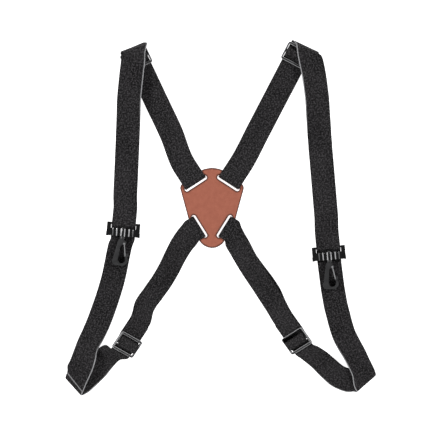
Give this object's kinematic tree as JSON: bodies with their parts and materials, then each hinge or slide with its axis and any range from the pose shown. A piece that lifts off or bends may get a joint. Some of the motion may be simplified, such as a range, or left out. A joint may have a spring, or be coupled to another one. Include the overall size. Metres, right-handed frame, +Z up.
{
  "type": "shoulder harness strap",
  "caption": "Cross-back shoulder harness of elastic webbing with a leather back plate, sliding adjusters and sliding swivel-hook clips, laid flat.",
  "frame": {"origin": "on the table under the middle of the laid-out harness's bounding box", "axes": "+Z up from the table, +Y from the hips to the shoulders, +X to the right as seen from above with the back plate face up"},
  "size_m": [0.3235, 0.3703, 0.0225],
  "materials": {
    "webbing": "ribbed elastic weave",
    "leather": "smooth with dark burnished edges",
    "plastic": "moulded, slightly satin"
  },
  "bodies": {
    "harness": {"back_plate": "leather", "upper_double_l": "webbing", "lower_double_l": "webbing", "shoulder_tuck_l": "webbing", "shoulder_l": "webbing", "chest_upper_l": "webbing", "chest_lower_l": "webbing", "hip_run_l": "webbing", "hip_fold_l": "webbing", "upper_double_r": "webbing", "lower_double_r": "webbing", "shoulder_tuck_r": "webbing", "shoulder_r": "webbing", "chest_upper_r": "webbing", "chest_lower_r": "webbing", "hip_run_r": "webbing", "hip_fold_r": "webbing"},
    "upper_adjuster_l": {"upper_adjuster_l": "plastic", "upper_weave_l": "webbing", "upper_end_l": "webbing"},
    "lower_adjuster_l": {"lower_adjuster_l": "plastic", "lower_weave_l": "webbing", "lower_end_l": "webbing"},
    "clip_l": {"clip_frame_l": "plastic", "clip_weave_l": "webbing"},
    "hook_l": {"hook_l": "plastic"},
    "gate_l": {"gate_l": "plastic"},
    "upper_adjuster_r": {"upper_adjuster_r": "plastic", "upper_weave_r": "webbing", "upper_end_r": "webbing"},
    "lower_adjuster_r": {"lower_adjuster_r": "plastic", "lower_weave_r": "webbing", "lower_end_r": "webbing"},
    "clip_r": {"clip_frame_r": "plastic", "clip_weave_r": "webbing"},
    "hook_r": {"hook_r": "plastic"},
    "gate_r": {"gate_r": "plastic"}
  },
  "joints": [
    {"name": "upper_adjuster_slide_l", "type": "slide", "parent": "harness", "child": "upper_adjuster_l", "axis": [0.4258, -0.9048, 0], "range_m": [0, 0.06], "deforming": ["upper_double_l", "shoulder_tuck_l"]},
    {"name": "upper_adjuster_slide_r", "type": "slide", "parent": "harness", "child": "upper_adjuster_r", "axis": [-0.4617, -0.887, 0], "range_m": [0, 0.06], "deforming": ["upper_double_r", "shoulder_tuck_r"]},
    {"name": "lower_adjuster_slide_l", "type": "slide", "parent": "harness", "child": "lower_adjuster_l", "axis": [0.5519, 0.8339, 0], "range_m": [0, 0.025], "deforming": ["lower_double_l", "hip_run_l"]},
    {"name": "lower_adjuster_slide_r", "type": "slide", "parent": "harness", "child": "lower_adjuster_r", "axis": [-0.5807, 0.8141, 0], "range_m": [0, 0.025], "deforming": ["lower_double_r", "hip_run_r"]},
    {"name": "clip_slide_l", "type": "slide", "parent": "harness", "child": "clip_l", "axis": [0.0872, 0.9962, 0], "range_m": [-0.01, 0.03], "deforming": ["chest_upper_l", "chest_lower_l"]},
    {"name": "clip_slide_r", "type": "slide", "parent": "harness", "child": "clip_r", "axis": [-0.0872, 0.9962, 0], "range_m": [-0.01, 0.03], "deforming": ["chest_upper_r", "chest_lower_r"]},
    {"name": "hook_swivel_l", "type": "hinge", "parent": "clip_l", "child": "hook_l", "pos_m": [-0.10114, -0.01588, 0.0049], "axis": [0.0872, 0.9962, 0], "range_deg": [-12, 12]},
    {"name": "gate_hinge_l", "type": "hinge", "parent": "hook_l", "child": "gate_l", "pos_m": [-0.09968, -0.02564, 0.0049], "axis": [0, 0, -1], "range_deg": [0, 26], "stiffness_Nm_per_rad": 0.004, "springref_deg": -5.73},
    {"name": "hook_swivel_r", "type": "hinge", "parent": "clip_r", "child": "hook_r", "pos_m": [0.11334, -0.04038, 0.0049], "axis": [-0.0872, 0.9962, 0], "range_deg": [-12, 12]},
    {"name": "gate_hinge_r", "type": "hinge", "parent": "hook_r", "child": "gate_r", "pos_m": [0.11646, -0.04974, 0.0049], "axis": [0, 0, -1], "range_deg": [0, 26], "stiffness_Nm_per_rad": 0.004, "springref_deg": -5.73}
  ]
}
